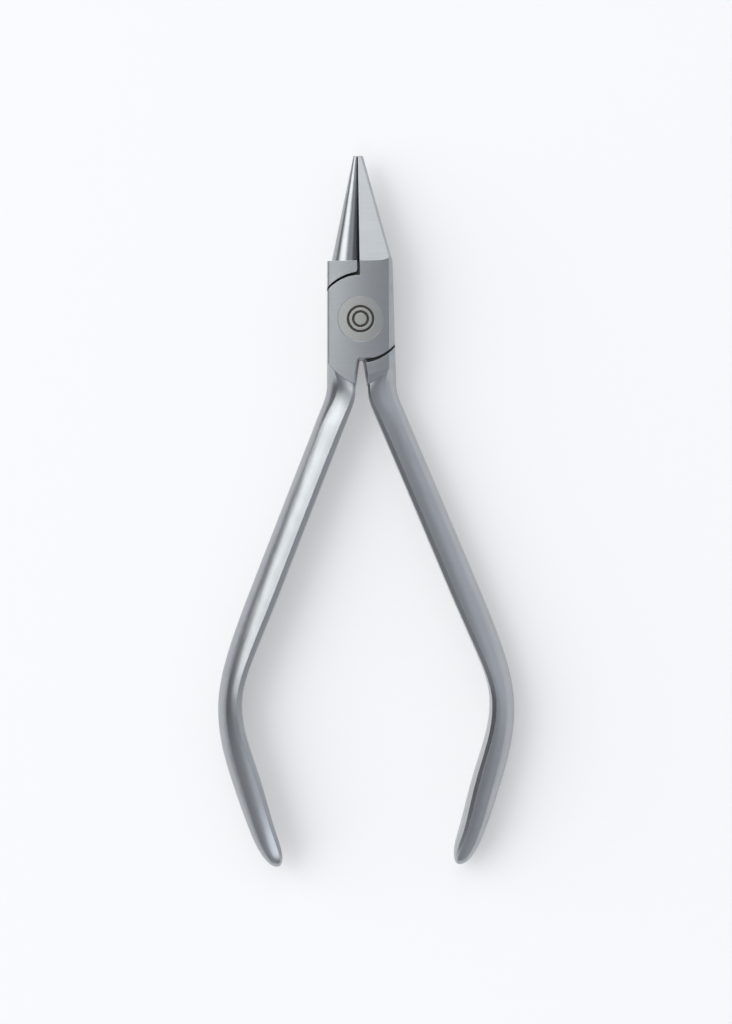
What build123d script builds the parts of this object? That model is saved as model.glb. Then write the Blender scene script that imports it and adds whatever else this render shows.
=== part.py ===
from build123d import *
import math
import os

# Lap-joint jewellery pliers: two forged halves that cross at a flush pivot rivet.
# Origin: on the pivot axis, in the flat back of the joint.
# +Z: along the pivot, out of the front.  +Y: towards the beaks.  Units: millimetres.

# ---- joint ----
thickness = 8.4             # flat back to the top of the crowned front
mid = thickness / 2         # height of the lap plane
lap_gap = 0.04              # air between the two lapped plates
crown_radius = 52           # long cylinder that rounds the front of the joint
joint_top = 10.6            # where the beaks leave the joint
joint_half_top = 6.0        # half width of the joint there, at the lap plane
side_angle = 0.8            # each side opens downwards by this much (degrees)
side_draft = 3              # the sides lean in from the lap plane to both faces (degrees)
plate_radius_top = 7.95     # lap plate edge beside the other half's beak shoulder
shoulder_radius_top = 8.36  # that shoulder's wall, about a centre set aside from the pivot
shoulder_centre = (-0.3, 0.2)  # so that the gap widens towards the middle
plate_radius_low = 7.3      # lap plate edge beside the other half's neck
plate_centre_low = (0.5, 0) # its centre is set aside, so this gap widens towards the middle too
shoulder_radius_low = 8.02  # that neck's wall, about the pivot
shoulder_inset = 0.48       # straight side of the beak shoulder, from the middle
shoulder_corner = 0.5       # radius of that shoulder's corner beside the plate
neck_inset = 0.8            # side of the neck below the lap plate, from the middle
crotch_low = 7.5            # bottom of the lap plate, between the necks
crotch_inner = -0.3         # where that bottom meets the side of the neck
crotch_outer = 0.5          # and where it meets the round edge of the plate
crotch_radius = 0.35
slot_edge = 0.3             # chamfer along the slot between the necks
wide_strip = (0.5, 0.95)    # long edge chamfer, front right and back left: at the beaks, at the neck
fine_strip = (0.25, 0.25)   # the same on the other two long edges

# ---- neck and handle, as plan points of the left-hand handle ----
crease_outer = (-6.3, -8.0) # the joint's faces end on the arc through these three
crease_middle = (-4.1, -10.25)
crease_inner = (-1.0, -12.1)
back_crease = ((-0.9, -10.4), (-5.2, -8.05))  # on the back the flat face ends here
back_crease_angle = 14      # and falls away at this angle (degrees)
root_outer = (-6.26, -7.2)  # the handle starts this far inside the joint
root_inner = (-1.2, -11.2)
neck_outer = (-6.3, -11.6)  # straight to here, then an arc into the upper run
neck_inner = (-1.25, -13.3)
neck_radius = 9
outer_heading = 0.8         # directions of the two sides above that arc (degrees)
inner_heading = 5
wall_bulge = 0.15           # the inner side stands out this much at the lap plane
back_fall = 1.4             # on the back the strip on the inner edge falls this many times as far
run_angle = 22.25           # direction of the straight upper run
outer_bend = ((-21.27, -50.0), (-28.43, -68.1), (-28.89, -71.8), (-23.0, -89.0))
inner_bend = ((-18.2, -56.0), (-25.9, -72.8), (-22.2, -72.5), (-18.75, -86.0))
outer_tip = ((-23.0, -89.0), (-21.4, -93.7), (-19.6, -98.9), (-17.0, -99.6))
inner_tip = ((-15.85, -96.2), (-15.5, -97.5), (-15.6, -99.0), (-16.3, -99.5))

# ---- beaks ----
beak_end = 29.9             # distance from the pivot to the tips
beak_gap = 0.03             # each beak's inner side, from the middle
flat_beak_root = (5.72, 11.15)
flat_beak_tip_width = 0.8
flat_beak_tip_thickness = 1.9
flat_beak_edge = 0.35       # bevel on the outer edges of the flat beak
tip_edge = 0.1              # bevel round the end of the flat beak
round_beak_root_radius = 2.6
round_beak_tip_radius = 0.43
round_beak_overlap = 0.6    # the cone is this much longer, then cut off level with the joint

# ---- pivot rivet ----
rivet_radius = 2.5
rivet_running_gap = 0.03    # radial, in the rear half only
rivet_head_radius = 4.12
rivet_head_height = 1.6
rivet_head_bevel = 0.03     # gives the flush head its fine seam
mark_rings = ((1.1, 1.55), (2.05, 2.5))  # two engraved rings: inner and outer radius
mark_depth = 0.12
rivet_foot_radius = 3.6     # countersunk foot in the back
rivet_foot_height = 1.1
rivet_foot_gap = 0.04       # between the foot and its countersink


def heading(angle):
    """Direction that points down the handle, turned away from the middle line by angle."""
    return (-math.sin(math.radians(angle)), -math.cos(math.radians(angle)))


def side_at(y):
    """Half width of the joint at height y."""
    return joint_half_top + (joint_top - y) * math.tan(math.radians(side_angle))


def turned_over(part):
    """The same forging turned half a turn about the middle line: the other half."""
    return part.rotate(Axis((0, 0, mid), (0, 1, 0)), 180)


# ---- handle: sections along the two plan edges ----
# Half a section, from the inner crest to the widest point, as the control points of two
# curves that meet at the fourth point.  Both numbers are shares: of the way across, and of
# the crest's height above the lap plane.
block_shape = ((0, 1), (0.3, 1), (0.6, 1), (0.82, 0.995), (0.93, 0.86), (1, 0.62), (1, 0))
oval_shape = ((0, 1), (0.28, 0.965), (0.53, 0.865), (0.715, 0.7), (0.895, 0.54), (1, 0.27), (1, 0))
ridge_shape = ((0, 1), (0.2, 0.965), (0.38, 0.865), (0.56, 0.73), (0.8, 0.56), (1, 0.27), (1, 0))

# along: share of the way down; height: of the crest above and below the lap plane;
# block, ridge: shares of those two shapes, the rest is oval;
# bevel, drop: width and fall of the strip on the inner edge; lean: setback of its back edge.
stations = [
    # along, height, block, ridge, bevel, drop, lean
    (0.000, 3.64, 0.95, 0.00, 0.30, 0.25, 0.00),
    (0.009, 3.68, 0.70, 0.30, 0.36, 0.24, 0.00),
    (0.020, 3.79, 0.30, 0.70, 0.42, 0.24, 0.00),
    (0.034, 3.80, 0.05, 0.95, 0.50, 0.27, 0.00),
    (0.050, 3.68, 0.00, 0.90, 0.58, 0.31, 0.00),
    (0.068, 3.58, 0.00, 0.60, 0.66, 0.36, 0.00),
    (0.095, 3.60, 0.10, 0.20, 0.74, 0.42, 0.00),
    (0.140, 3.69, 0.10, 0.00, 0.80, 0.49, 0.00),
    (0.220, 3.80, 0.04, 0.00, 0.82, 0.50, 0.00),
    (0.350, 3.94, 0.00, 0.10, 0.82, 0.50, 0.00),
    (0.480, 4.06, 0.00, 0.45, 0.82, 0.50, 0.00),
    (0.580, 4.16, 0.00, 0.90, 0.80, 0.50, 0.05),
    (0.660, 4.20, 0.00, 1.00, 0.78, 0.50, 0.20),
    (0.740, 4.12, 0.00, 0.85, 0.76, 0.50, 0.36),
    (0.820, 3.86, 0.00, 0.45, 0.74, 0.50, 0.50),
    (0.890, 3.50, 0.00, 0.20, 0.70, 0.50, 0.64),
    (0.935, 3.08, 0.00, 0.10, 0.64, 0.48, 0.70),
    (0.965, 2.55, 0.00, 0.00, 0.54, 0.44, 0.50),
    (0.985, 1.85, 0.00, 0.00, 0.36, 0.34, 0.24),
    (1.000, 0.60, 0.00, 0.00, 0.14, 0.16, 0.02),
]


def half_section(start, width, height, block, ridge):
    """Control points from the crest at start across to width; height is negative for the back."""
    shares = (block, ridge, 1 - block - ridge)
    return [
        (
            start + (width - start) * sum(share * point[0] for share, point in zip(shares, points)),
            mid + height * sum(share * point[1] for share, point in zip(shares, points)),
        )
        for points in zip(block_shape, ridge_shape, oval_shape)
    ]


with BuildLine() as outer_rail:
    Line(root_outer, neck_outer)
    outer_neck = JernArc(neck_outer, heading(outer_heading), neck_radius, outer_heading - run_angle)
    Line(outer_neck @ 1, outer_bend[0])
    Bezier(*outer_bend)
    Bezier(*outer_tip)

with BuildLine() as inner_rail:
    Line(root_inner, neck_inner)
    inner_neck = JernArc(neck_inner, heading(inner_heading), neck_radius, inner_heading - run_angle)
    Line(inner_neck @ 1, inner_bend[0])
    Bezier(*inner_bend)
    Line(inner_bend[-1], inner_tip[0])
    Bezier(*inner_tip)

outer_edge = outer_rail.wire()
inner_edge = inner_rail.wire()

with BuildPart() as forged_handle:
    for along, height, block, ridge, bevel, drop, lean in stations:
        inside = inner_edge.position_at(along, PositionMode.PARAMETER)
        outside = outer_edge.position_at(along, PositionMode.PARAMETER)
        across = (outside - inside).normalized()
        width = (outside - inside).length
        front_side = half_section(bevel, width, height, block, ridge)
        back_side = half_section(lean + bevel, width, -height, block, ridge)
        with BuildSketch(Plane(inside, x_dir=across, z_dir=across.cross(Vector(0, 0, 1)))):
            with BuildLine():
                inner_front = (0, mid + height - drop)
                inner_middle = (lean / 2 - wall_bulge, mid)
                inner_back = (lean, mid - height + back_fall * drop)
                Line(inner_front, front_side[0])
                Bezier(*front_side[:4])
                Bezier(*front_side[3:])
                Bezier(*reversed(back_side[3:]))
                Bezier(*reversed(back_side[:4]))
                Line(back_side[0], inner_back)
                Line(inner_back, inner_middle)
                Line(inner_middle, inner_front)
            make_face()
    loft()

# ---- joint of one forging: lap plate in front, pocket for the other plate behind ----
span = 2 * thickness        # longer than any cut through the joint
slot_middle = (Vector(crotch_inner, -crotch_low) + Vector(crease_inner)) / 2

# The back of the blank is drafted from the lap plane down, then mirrored for its front.
with BuildPart() as forged_joint:
    with BuildSketch(Plane.XY.offset(mid)):
        with BuildLine():
            Polyline(
                (-span / 2, crease_outer[1]),
                (-span / 2, span),
                (span / 2, span),
                (span / 2, -crotch_low),
                (crotch_inner, -crotch_low),
                crease_inner,
            )
            ThreePointArc(crease_inner, crease_middle, crease_outer)
            Line(crease_outer, (-span / 2, crease_outer[1]))
        make_face()
        fillet(vertices().sort_by_distance((crotch_inner, -crotch_low))[0], crotch_radius)
    extrude(amount=mid, taper=side_draft)
    chamfer(edges().sort_by_distance((slot_middle.X, slot_middle.Y, 0))[0], slot_edge)
    mirror(about=Plane.XY.offset(mid))
    split(bisect_by=Plane.XZ.offset(-joint_top), keep=Keep.TOP)
    back_end = Vector(back_crease[1]) - Vector(back_crease[0])
    falling = Vector(0, 0, -1).rotate(Axis((0, 0, 0), back_end), back_crease_angle)
    split(bisect_by=Plane(back_crease[0], x_dir=back_end, z_dir=falling), keep=Keep.BOTTOM)
    with BuildSketch() as other_shoulder:
        Rectangle(span, span, align=(Align.MAX, Align.MIN))
        Circle(plate_radius_top, mode=Mode.SUBTRACT)
    extrude(amount=thickness, mode=Mode.SUBTRACT)
    with BuildSketch() as other_neck:
        with Locations((crotch_outer, 0)):
            Rectangle(span, span, align=(Align.MIN, Align.MAX))
        with Locations(plate_centre_low):
            Circle(plate_radius_low, mode=Mode.SUBTRACT)
    extrude(amount=thickness, mode=Mode.SUBTRACT)
    with BuildSketch() as pocket_top:
        with Locations(shoulder_centre):
            Circle(shoulder_radius_top)
        with Locations((shoulder_inset, 0)):
            Rectangle(span, span, align=(Align.MAX, Align.MIN))
        Rectangle(2 * span, span, align=(Align.CENTER, Align.MAX), mode=Mode.SUBTRACT)
        fillet(vertices().sort_by_distance((shoulder_inset, shoulder_radius_top))[0], shoulder_corner)
    extrude(amount=mid + lap_gap / 2, mode=Mode.SUBTRACT)
    with BuildSketch() as pocket_low:
        Circle(shoulder_radius_low)
        with Locations((-neck_inset, 0)):
            Rectangle(span, span, align=(Align.MIN, Align.MAX))
        Rectangle(2 * span, span, align=(Align.CENTER, Align.MIN), mode=Mode.SUBTRACT)
    extrude(amount=mid + lap_gap / 2, mode=Mode.SUBTRACT)


# ---- finished outside of the joint: crowned front and chamfered long edges ----
def front_at(x):
    """Height of the crowned front face."""
    return thickness - crown_radius + math.sqrt(crown_radius**2 - x**2)


def strip_plane(side, front, widths):
    """Plane of a 45 degree chamfer along one long edge; side is -1 for left, front is -1 for the back."""
    setback = mid * math.tan(math.radians(side_draft))
    top_x = side_at(joint_top) - setback - widths[0]
    low_x = side_at(crease_outer[1]) - setback - widths[1]
    along = Vector(side * (low_x - top_x), crease_outer[1] - joint_top, 0)
    level = front_at(top_x) if front > 0 else 0
    outward = Vector(side, -side * along.X / along.Y, front)
    return Plane((side * top_x, joint_top, level), x_dir=along, z_dir=outward)


def draft_plane(side, front):
    """Plane of one drafted side wall, through the side's widest line at the lap plane."""
    along = Vector(side * math.tan(math.radians(side_angle)), -1, 0)
    inward = Vector(-side * math.tan(math.radians(side_draft)), 0, front)
    outward = along.cross(inward)
    return Plane((side * joint_half_top, joint_top, mid), x_dir=along, z_dir=outward * side * outward.X)


with BuildPart() as joint_outside:
    with Locations((0, 0, thickness - crown_radius)):
        Cylinder(crown_radius, 4 * span, rotation=(90, 0, 0))
    Box(
        2 * span,
        4 * span,
        thickness,
        align=(Align.CENTER, Align.CENTER, Align.MIN),
        mode=Mode.INTERSECT,
    )
    for side, front in ((1, 1), (1, -1), (-1, 1), (-1, -1)):
        widths = wide_strip if side == front else fine_strip
        split(bisect_by=draft_plane(side, front), keep=Keep.BOTTOM)
        split(bisect_by=strip_plane(side, front, widths), keep=Keep.BOTTOM)


# ---- flat beak: a wedge, thinning towards the tip on the front and on the back ----
def taper_plane(root_inner_z, root_outer_z, tip_z, outward):
    """Plane of one tapering face, from its crease across the root to the tip."""
    inner = Vector(beak_gap, joint_top, root_inner_z)
    crease = Vector(*flat_beak_root, root_outer_z) - inner
    normal = crease.cross(Vector(beak_gap, beak_end, tip_z) - inner)
    return Plane(inner, x_dir=crease, z_dir=normal * outward)


# outward direction of the flat beak's outer side
outer_side = Vector(
    beak_end - flat_beak_root[1], flat_beak_root[0] - beak_gap - flat_beak_tip_width, 0
).normalized()

with BuildPart() as flat_beak:
    with BuildSketch():
        with BuildLine():
            Polyline(
                (beak_gap, joint_top),
                (beak_gap, beak_end),
                (beak_gap + flat_beak_tip_width, beak_end),
                flat_beak_root,
                (side_at(joint_top), joint_top),
                close=True,
            )
        make_face()
    extrude(amount=thickness)
    tip_front = mid + flat_beak_tip_thickness / 2
    tip_back = mid - flat_beak_tip_thickness / 2
    front_taper = taper_plane(thickness, front_at(flat_beak_root[0]), tip_front, 1)
    back_taper = taper_plane(0, 0, tip_back, -1)
    for taper in (front_taper, back_taper):
        split(bisect_by=taper, keep=Keep.BOTTOM)
    for taper, level in ((front_taper, front_at(flat_beak_root[0])), (back_taper, 0)):
        start = Vector(flat_beak_root[0] - flat_beak_edge, flat_beak_root[1], level)
        split(bisect_by=Plane(start, z_dir=taper.z_dir + outer_side), keep=Keep.BOTTOM)
    chamfer(faces().sort_by(Axis.Y)[-1].edges(), tip_edge)

# ---- front half: left handle, front plate, flat beak on the right ----
with BuildPart() as front_half:
    add(forged_joint.part)
    add(flat_beak.part)
    add(joint_outside.part, mode=Mode.INTERSECT)
    add(forged_handle.part)
    with Locations((0, 0, mid)):
        Cylinder(rivet_radius, span, mode=Mode.SUBTRACT)
    with Locations((0, 0, thickness - rivet_head_height)):
        Cylinder(rivet_head_radius, span, align=(Align.CENTER, Align.CENTER, Align.MIN), mode=Mode.SUBTRACT)
front_half.part.label = "front_half"

# The round beak is a cone that leans so that its inner side stays parallel to the middle line.
cone_length = beak_end - joint_top + round_beak_overlap
beak_lean = math.atan2(round_beak_root_radius - round_beak_tip_radius, cone_length)
round_beak_root = Plane(
    (-beak_gap - round_beak_root_radius, joint_top - round_beak_overlap, mid),
    z_dir=(math.sin(beak_lean), math.cos(beak_lean), 0),
)

with BuildPart() as round_beak:
    with Locations(round_beak_root):
        Cone(
            round_beak_root_radius / math.cos(beak_lean),
            round_beak_tip_radius / math.cos(beak_lean),
            cone_length / math.cos(beak_lean),
            align=(Align.CENTER, Align.CENTER, Align.MIN),
        )
    split(bisect_by=Plane.XZ.offset(-joint_top), keep=Keep.BOTTOM)

# ---- rear half: right handle, rear plate, round beak on the left ----
with BuildPart() as rear_half:
    add(turned_over(forged_joint.part))
    add(joint_outside.part, mode=Mode.INTERSECT)
    add(turned_over(forged_handle.part))
    add(round_beak.part)
    with Locations((0, 0, mid)):
        Cylinder(rivet_radius + rivet_running_gap, span, mode=Mode.SUBTRACT)
    with Locations((0, 0, 0)):
        Cone(
            rivet_foot_radius + rivet_foot_gap,
            rivet_radius + rivet_foot_gap,
            rivet_foot_height,
            align=(Align.CENTER, Align.CENTER, Align.MIN),
            mode=Mode.SUBTRACT,
        )
rear_half.part.label = "rear_half"

# ---- pivot rivet: flush head pressed into the front plate, countersunk foot behind ----
with BuildPart() as pivot_rivet:
    Cylinder(rivet_radius, thickness, align=(Align.CENTER, Align.CENTER, Align.MIN))
    with Locations((0, 0, thickness - rivet_head_height)):
        Cylinder(rivet_head_radius, rivet_head_height, align=(Align.CENTER, Align.CENTER, Align.MIN))
    Cone(
        rivet_foot_radius,
        rivet_radius,
        rivet_foot_height,
        align=(Align.CENTER, Align.CENTER, Align.MIN),
    )
    add(joint_outside.part, mode=Mode.INTERSECT)
    chamfer(faces().sort_by(Axis.Z)[-1].edges(), rivet_head_bevel)
    with BuildSketch(Plane.XY.offset(thickness - mark_depth)) as mark:
        for inner_radius, outer_radius in reversed(mark_rings):
            Circle(outer_radius)
            Circle(inner_radius, mode=Mode.SUBTRACT)
    extrude(amount=thickness, mode=Mode.SUBTRACT)
pivot_rivet.part.label = "pivot_rivet"

os.makedirs("parts", exist_ok=True)
for piece in (front_half.part, rear_half.part, pivot_rivet.part):
    export_step(piece, f"parts/{piece.label}.step")
    print(piece.label, piece.is_valid, len(piece.solids()), round(piece.volume, 1), piece.bounding_box())
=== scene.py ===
import math

import bpy
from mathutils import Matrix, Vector


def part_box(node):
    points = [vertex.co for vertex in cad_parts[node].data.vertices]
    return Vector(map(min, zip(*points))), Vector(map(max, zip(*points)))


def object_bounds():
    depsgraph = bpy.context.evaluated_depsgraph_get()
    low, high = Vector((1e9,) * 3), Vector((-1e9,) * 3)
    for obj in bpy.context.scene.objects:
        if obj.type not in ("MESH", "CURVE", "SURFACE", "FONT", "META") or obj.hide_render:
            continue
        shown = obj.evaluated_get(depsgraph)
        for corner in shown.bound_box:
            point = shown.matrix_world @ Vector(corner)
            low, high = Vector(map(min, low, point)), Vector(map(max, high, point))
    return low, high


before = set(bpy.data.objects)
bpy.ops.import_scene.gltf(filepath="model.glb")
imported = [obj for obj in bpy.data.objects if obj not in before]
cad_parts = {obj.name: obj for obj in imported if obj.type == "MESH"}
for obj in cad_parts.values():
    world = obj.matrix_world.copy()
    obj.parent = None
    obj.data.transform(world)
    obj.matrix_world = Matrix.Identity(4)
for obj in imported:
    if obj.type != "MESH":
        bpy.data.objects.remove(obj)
cad_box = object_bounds()

# Places come from the frame, in metres.
low, high = cad_box
mid = (low.z + high.z) / 2
top = high.z
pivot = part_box("pivot_rivet")
head_radius = pivot[1].x

# ---- camera: straight above, beaks up ----
VIEW_CENTRE = Vector((0.00048, -0.03507, 0))
VIEW_HEIGHT = 0.187         # metres from the top to the bottom of the picture, at the lap plane
CAMERA_DISTANCE = 0.62      # above the lap plane
NEAR_CLIP = 0.01
SENSOR = 36.0
ROLL = math.radians(-0.82)


def make_camera():
    data = bpy.data.cameras.new("camera")
    data.sensor_width = SENSOR
    data.lens = SENSOR * CAMERA_DISTANCE / VIEW_HEIGHT
    data.clip_start = NEAR_CLIP
    camera = bpy.data.objects.new("camera", data)
    camera.location = VIEW_CENTRE + Vector((0, 0, CAMERA_DISTANCE + mid))
    camera.rotation_euler = (0, 0, ROLL)
    bpy.context.scene.collection.objects.link(camera)
    bpy.context.scene.camera = camera


make_camera()


# ---- node helpers: each returns the output socket of one new node ----
class Nodes:
    """Short calls that add nodes to one tree; a socket, a number or a vector goes in."""

    def __init__(self, tree):
        self.tree = tree

    def put(self, socket, value):
        if isinstance(value, bpy.types.NodeSocket):
            self.tree.links.new(value, socket)
        else:
            socket.default_value = value

    def math(self, operation, *values):
        node = self.tree.nodes.new("ShaderNodeMath")
        node.operation = operation
        for socket, value in zip(node.inputs, values):
            self.put(socket, value)
        return node.outputs[0]

    def product(self, *values):
        result = values[0]
        for value in values[1:]:
            result = self.math("MULTIPLY", result, value)
        return result

    def ramp(self, value, start, end, low=0.0, high=1.0):
        """Smooth step: low up to start, high from end."""
        node = self.tree.nodes.new("ShaderNodeMapRange")
        node.interpolation_type = "SMOOTHSTEP"
        for name, number in (
            ("Value", value), ("From Min", start), ("From Max", end), ("To Min", low), ("To Max", high),
        ):
            self.put(node.inputs[name], number)
        return node.outputs["Result"]

    def size(self, value):
        """The value without its sign."""
        return self.math("ABSOLUTE", value)

    def radius(self, x, y):
        return self.math("SQRT", self.math("ADD", self.product(x, x), self.product(y, y)))

    def dot(self, vector, direction):
        node = self.tree.nodes.new("ShaderNodeVectorMath")
        node.operation = "DOT_PRODUCT"
        self.put(node.inputs[0], vector)
        self.put(node.inputs[1], direction)
        return node.outputs["Value"]

    def split(self, vector):
        node = self.tree.nodes.new("ShaderNodeSeparateXYZ")
        self.put(node.inputs[0], vector)
        return node.outputs

    def coordinates(self, name):
        return self.tree.nodes.new("ShaderNodeTexCoord").outputs[name]

    def scaled(self, vector, scale):
        node = self.tree.nodes.new("ShaderNodeMapping")
        self.put(node.inputs["Vector"], vector)
        self.put(node.inputs["Scale"], scale)
        return node.outputs[0]

    def noise(self, vector, scale, detail=2.0, roughness=0.5):
        node = self.tree.nodes.new("ShaderNodeTexNoise")
        for name, value in (
            ("Vector", vector), ("Scale", scale), ("Detail", detail), ("Roughness", roughness),
        ):
            self.put(node.inputs[name], value)
        return node.outputs["Fac"]

    def blend(self, share, first, second):
        """Number between first and second."""
        node = self.tree.nodes.new("ShaderNodeMix")
        for name, value in (("Factor", share), ("A", first), ("B", second)):
            self.put(node.inputs[name], value)
        return node.outputs["Result"]

    def mix(self, share, first, second):
        """Colour between first and second."""
        node = self.tree.nodes.new("ShaderNodeMix")
        node.data_type = "RGBA"
        self.put(node.inputs["Factor"], share)
        self.put(node.inputs["A"], first)
        self.put(node.inputs["B"], second)
        return node.outputs["Result"]

    def bump(self, height, distance):
        node = self.tree.nodes.new("ShaderNodeBump")
        self.put(node.inputs["Height"], height)
        self.put(node.inputs["Distance"], distance)
        return node.outputs["Normal"]


# ---- studio light: a room, one large soft panel at the upper left, and fainter lights round it ----
ROOM_LIGHT = 0.36
PANEL_LIGHT = 2.0           # each light is radiance added to the room's
LOW_PANEL_LIGHT = 1.6       # small panel below the handles
TOP_PATCH_LIGHT = 0.28      # faint light beyond the beaks
RIGHT_WALL_LIGHT = 0.75     # paler wall on the right
LEFT_SHADE_LIGHT = -0.29    # darker side on the left
PANEL_SIDE = (-0.87, 0.49, 0)   # the panel is on this side of the zenith
PANEL_COLOUR = (0.965, 0.985, 0.96, 1)
ROOM_COLOUR = (0.935, 0.975, 1.03, 1)

# Soft edges of the lights: along which part of the direction, where the light starts and where it is full.
# x is to the right, y is beyond the beaks and z is straight up.
PANEL_EDGES = (("side", 0.08, 0.24), ("y", 0.02, 0.20), ("z", 0.34, 0.68))
LOW_PANEL_EDGES = (("y", -0.22, -0.40), ("x", 0.08, -0.08), ("x", -0.55, -0.35), ("z", 0.5, 0.7))
TOP_PATCH_EDGES = (("y", 0.25, 0.38), ("x", -0.35, -0.1), ("x", 0.45, 0.2))
LEFT_SHADE_EDGES = (("x", 0.0, -0.5), ("z", 0.7, 0.3), ("y", -0.4, -0.05))
WALL_LOW = (0.8, 0.5)       # z: below this, the right wall spans its whole length
WALL_FAR = (-0.12, 0.16)    # y: beyond this, it also shows higher up
WALL_EDGES = (("x", 0.22, 0.58), ("z", 0.93, 0.65))
WALL_FADE = (-0.45, 0.15, 0.2, 0.54)    # y from and to, share of the light from and to


def make_studio():
    world = bpy.data.worlds.new("studio")
    bpy.context.scene.world = world
    world.use_nodes = True
    nodes = Nodes(world.node_tree)
    direction = nodes.coordinates("Generated")
    x, y, z = nodes.split(direction)
    along = {"x": x, "y": y, "z": z, "side": nodes.dot(direction, PANEL_SIDE)}

    def soft(edges):
        return [nodes.ramp(along[name], start, full) for name, start, full in edges]

    panel = nodes.product(*soft(PANEL_EDGES), PANEL_LIGHT)
    low_panel = nodes.product(*soft(LOW_PANEL_EDGES), LOW_PANEL_LIGHT)
    top_patch = nodes.product(*soft(TOP_PATCH_EDGES), TOP_PATCH_LIGHT)
    right_wall = nodes.product(
        nodes.math("MAXIMUM", nodes.ramp(z, *WALL_LOW), nodes.ramp(y, *WALL_FAR)),
        *soft(WALL_EDGES),
        nodes.ramp(y, *WALL_FADE),
        RIGHT_WALL_LIGHT,
    )
    left_shade = nodes.product(*soft(LEFT_SHADE_EDGES), LEFT_SHADE_LIGHT)
    total = ROOM_LIGHT
    for part in (panel, low_panel, top_patch, right_wall, left_shade):
        total = nodes.math("ADD", total, part)
    background = world.node_tree.nodes["Background"]
    nodes.put(background.inputs["Color"], nodes.mix(nodes.ramp(panel, 0, 1), ROOM_COLOUR, PANEL_COLOUR))
    nodes.put(background.inputs["Strength"], total)


LAMP_SIZE = 4.7
LAMP_ENERGY = 192
LAMP_PLACE = (-2.65, 0.42, 1.52)


def make_shadow_lamp():
    """Soft lamp low on the left; it throws the floor shadow and isn't seen in the steel."""
    data = bpy.data.lights.new("shadow_lamp", "AREA")
    data.shape = "DISK"
    data.size = LAMP_SIZE
    data.energy = LAMP_ENERGY
    lamp = bpy.data.objects.new("shadow_lamp", data)
    lamp.location = LAMP_PLACE
    lamp.rotation_euler = (-lamp.location).to_track_quat("-Z", "Y").to_euler()
    lamp.visible_glossy = False
    bpy.context.scene.collection.objects.link(lamp)


make_studio()
make_shadow_lamp()
bpy.context.scene.view_settings.view_transform = "Standard"


# ---- floor ----
FLOOR_SIZE = 12
FLOOR_GAP = 0.00002         # keeps the floor just clear of the pliers
FLOOR_COLOUR = (0.392, 0.393, 0.40, 1)
FLOOR_ROUGHNESS = 0.9
FLOOR_GLOW_COLOUR = (0.98, 0.985, 1, 1)
FLOOR_GLOW = 0.37           # part of the floor's light that no shadow takes away


def make_floor():
    bpy.ops.mesh.primitive_plane_add(size=FLOOR_SIZE, location=(0, 0, low.z - FLOOR_GAP))
    floor = bpy.context.object
    floor.name = "floor"
    material = bpy.data.materials.new("pale_floor")
    material.use_nodes = True
    shader = material.node_tree.nodes["Principled BSDF"]
    shader.inputs["Base Color"].default_value = FLOOR_COLOUR
    shader.inputs["Roughness"].default_value = FLOOR_ROUGHNESS
    shader.inputs["Specular IOR Level"].default_value = 0.0
    shader.inputs["Emission Color"].default_value = FLOOR_GLOW_COLOUR
    shader.inputs["Emission Strength"].default_value = FLOOR_GLOW
    floor.data.materials.append(material)


make_floor()


# ---- materials ----
STEEL = (0.415, 0.43, 0.455, 1)
STEEL_PALE = (0.45, 0.465, 0.49, 1)
HEAD = (0.435, 0.44, 0.43, 1)
HEAD_PALE = (0.47, 0.475, 0.465, 1)
GAP_SHADE_COLOUR = (0.14, 0.137, 0.137, 1)      # painted shade in the narrow gaps between the halves
MARK = (0.030, 0.024, 0.020, 1)     # dark filling of the engraved rings
GRAZING_TINT = (0.95, 0.95, 0.95, 1)
EDGE_ROUNDING = 0.00012
EDGE_SAMPLES = 6
TONE_RANGE = (0.3, 0.7)     # a noise between these runs from the first look to the second

# brushing and grain, as noise scales and shares
JOINT_LINES = (130, 3600, 900)      # fine lines across the joint
HANDLE_LINES = (3000, 110, 1500)    # across, along and through a handle
JOINT_END = (-0.0135, -0.0100)      # y: the handles' lines give way to the joint's
RUN_SLOPE = 0.41            # sideways step of a handle's upper run for each step down
BEND_LEVEL = -0.0705        # height of the handles' bend
CLOUD_SCALE = 260
GRAIN_SCALE = 8000
CLOUD_SHARE = 0.45          # in the satin's tone, the rest is lines
GRAIN_SHARE = 0.35          # in its relief, the rest is lines
SATIN_RELIEF = 0.000006
SATIN_ROUGHNESS = (0.335, 0.285)
RIVET_CLOUD_SCALE = 700
RIVET_CLOUD_SHARE = 0.5
RIVET_RELIEF = 0.000004
RIVET_ROUGHNESS = (0.35, 0.5)       # bare steel, ring filling
RIVET_METALLIC = (1, 0.2)           # the same

# where the gaps between the two halves are, in metres
CROWN = 0.052               # radius of the joint's rounded front
SEAM_INNER = 0.0073         # they lie between these distances from the pivot
SEAM_OUTER = 0.0088
SEAM_FADE = 0.0001
SLOT_TOP = (-0.001, 0.0)    # y: below this and nearer the middle than SLOT_SIDE is the open slot
SLOT_SIDE = (0.0008, 0.0011)        # |x|: the open slot between the necks gets no painted shade
STEP_SIDE = (0.0008, 0.0006)        # |x|: the upright gap beside the beak shoulder lies within this
STEP_TOP = (0.0107, 0.0105)         # its upper end
OUTER_SIDE = (0.0056, 0.0054)       # |x|: past this, faces turned sideways are the joint's outside
TURNED_SIDEWAYS = (0.97, 0.93)      # |x| of such a face's normal
UPRIGHT = (0.75, 0.5)       # |z| of the normal of a face that stands up
POCKET_DEPTH = (0.0004, 0.0002)     # distance from the lap plane of a pocket's floor
BELOW_FRONT = (0.0003, 0.0006)      # the painted shade starts this far below the top
RING_EDGE = (0.66, 0.63)    # the rings lie inside this share of the head
RING_FLOOR = (0.00004, 0.00006)     # depth under the crown from which the filling starts
HEAD_LEVEL = 0.001          # the filling is on the front only, this far above the lap plane


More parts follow.
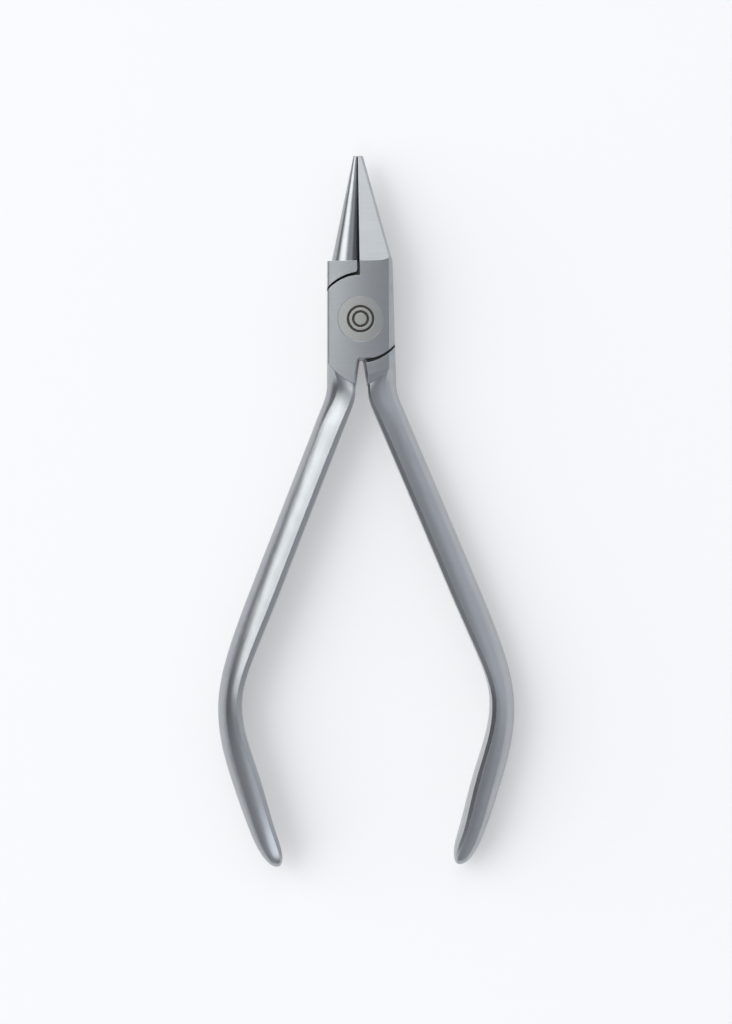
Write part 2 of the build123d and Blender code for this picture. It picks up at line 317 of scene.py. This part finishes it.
def start_metal(name):
    """New metal material: its node helper, its shader and its object coordinates."""
    material = bpy.data.materials.new(name)
    material.use_nodes = True
    nodes = Nodes(material.node_tree)
    shader = material.node_tree.nodes["Principled BSDF"]
    shader.inputs["Metallic"].default_value = 1
    shader.inputs["Specular Tint"].default_value = GRAZING_TINT
    return material, nodes, shader, nodes.coordinates("Object")


def finish_metal(nodes, shader, height, distance):
    """Surface relief laid over slightly rounded edges."""
    rounding = nodes.tree.nodes.new("ShaderNodeBevel")
    rounding.samples = EDGE_SAMPLES
    rounding.inputs["Radius"].default_value = EDGE_ROUNDING
    relief = nodes.bump(height, distance)
    nodes.put(relief.node.inputs["Normal"], rounding.outputs[0])
    nodes.put(shader.inputs["Normal"], relief)


def brushing(nodes, place):
    """Fine lines: across the joint, and lengthways on the handles."""
    x, y, z = nodes.split(place)
    across_joint = nodes.noise(nodes.scaled(place, JOINT_LINES), 1, 3, 0.65)
    below_bend = nodes.size(nodes.math("SUBTRACT", y, BEND_LEVEL))
    lane = nodes.math("ADD", nodes.size(x), nodes.product(below_bend, RUN_SLOPE))
    combine = nodes.tree.nodes.new("ShaderNodeCombineXYZ")
    for socket, value, scale in zip(combine.inputs, (lane, y, z), HANDLE_LINES):
        nodes.put(socket, nodes.product(value, scale))
    along_handle = nodes.noise(combine.outputs[0], 1, 3, 0.6)
    return nodes.blend(nodes.ramp(y, *JOINT_END), along_handle, across_joint)


def weighted(nodes, first, share, second):
    """Sum of two noises, in these shares."""
    return nodes.math("ADD", nodes.product(first, share), nodes.product(second, 1 - share))


def painted_gap_shade(nodes, place):
    """Mask of the painted shade: 1 on the faces inside the gaps between the two halves, 0 elsewhere."""
    x, y, z = nodes.split(place)
    beside = nodes.size(x)
    radius = nodes.radius(x, y)
    round_gap = nodes.product(
        nodes.ramp(radius, SEAM_INNER - SEAM_FADE, SEAM_INNER),
        nodes.ramp(radius, SEAM_OUTER, SEAM_OUTER - SEAM_FADE),
        nodes.math("MAXIMUM", nodes.ramp(y, *SLOT_TOP), nodes.ramp(beside, *SLOT_SIDE)),
    )
    upright_gap = nodes.product(
        nodes.ramp(beside, *STEP_SIDE),
        nodes.ramp(y, SEAM_INNER, SEAM_INNER + 2 * SEAM_FADE),
        nodes.ramp(y, *STEP_TOP),
    )
    facing = nodes.split(nodes.coordinates("Normal"))
    upright_face = nodes.ramp(nodes.size(facing[2]), *UPRIGHT)
    pocket_floor = nodes.ramp(nodes.size(nodes.math("SUBTRACT", z, mid)), *POCKET_DEPTH)
    within = nodes.math(
        "MAXIMUM",
        nodes.ramp(beside, *OUTER_SIDE),
        nodes.ramp(nodes.size(facing[0]), *TURNED_SIDEWAYS),
    )
    return nodes.product(
        nodes.math("MAXIMUM", round_gap, upright_gap),
        nodes.math("MAXIMUM", upright_face, pocket_floor),
        within,
        nodes.ramp(z, top - BELOW_FRONT[0], top - BELOW_FRONT[1]),
    )


def satin_steel():
    """Satin forged steel: brushed, softly clouded, with painted shade darkening the gaps of the joint."""
    material, nodes, shader, place = start_metal("satin_steel")
    cloud = nodes.noise(place, CLOUD_SCALE, 3, 0.6)
    grain = nodes.noise(place, GRAIN_SCALE, 2, 0.5)
    lines = brushing(nodes, place)
    tone = weighted(nodes, cloud, CLOUD_SHARE, lines)
    steel = nodes.mix(nodes.ramp(tone, *TONE_RANGE), STEEL, STEEL_PALE)
    # the faces inside the gaps get a dark colour: painted shade, not a stain
    nodes.put(shader.inputs["Base Color"], nodes.mix(painted_gap_shade(nodes, place), steel, GAP_SHADE_COLOUR))
    nodes.put(shader.inputs["Roughness"], nodes.ramp(tone, *TONE_RANGE, *SATIN_ROUGHNESS))
    finish_metal(nodes, shader, weighted(nodes, grain, GRAIN_SHARE, lines), SATIN_RELIEF)
    return material


def rivet_steel():
    """The rivet: the same steel, a little warmer, with the engraved rings filled dark."""
    material, nodes, shader, place = start_metal("rivet_steel")
    x, y, z = nodes.split(place)
    level = nodes.math("ADD", z, nodes.product(x, x, 1 / (2 * CROWN)))
    filled = nodes.product(
        nodes.ramp(level, top - RING_FLOOR[0], top - RING_FLOOR[1]),
        nodes.ramp(nodes.radius(x, y), RING_EDGE[0] * head_radius, RING_EDGE[1] * head_radius),
        nodes.ramp(z, mid, mid + HEAD_LEVEL),
    )
    cloud = nodes.noise(place, RIVET_CLOUD_SCALE, 3, 0.6)
    lines = nodes.noise(nodes.scaled(place, JOINT_LINES), 1, 3, 0.65)
    tone = weighted(nodes, cloud, RIVET_CLOUD_SHARE, lines)
    steel = nodes.mix(nodes.ramp(tone, *TONE_RANGE), HEAD, HEAD_PALE)
    nodes.put(shader.inputs["Base Color"], nodes.mix(filled, steel, MARK))
    nodes.put(shader.inputs["Metallic"], nodes.ramp(filled, 0, 1, *RIVET_METALLIC))
    nodes.put(shader.inputs["Roughness"], nodes.ramp(filled, 0, 1, *RIVET_ROUGHNESS))
    finish_metal(nodes, shader, lines, RIVET_RELIEF)
    return material


def paint_frame():
    satin = satin_steel()
    rivet = rivet_steel()
    for name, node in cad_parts.items():
        node.data.materials.clear()
        node.data.materials.append(rivet if name == "pivot_rivet" else satin)


paint_frame()
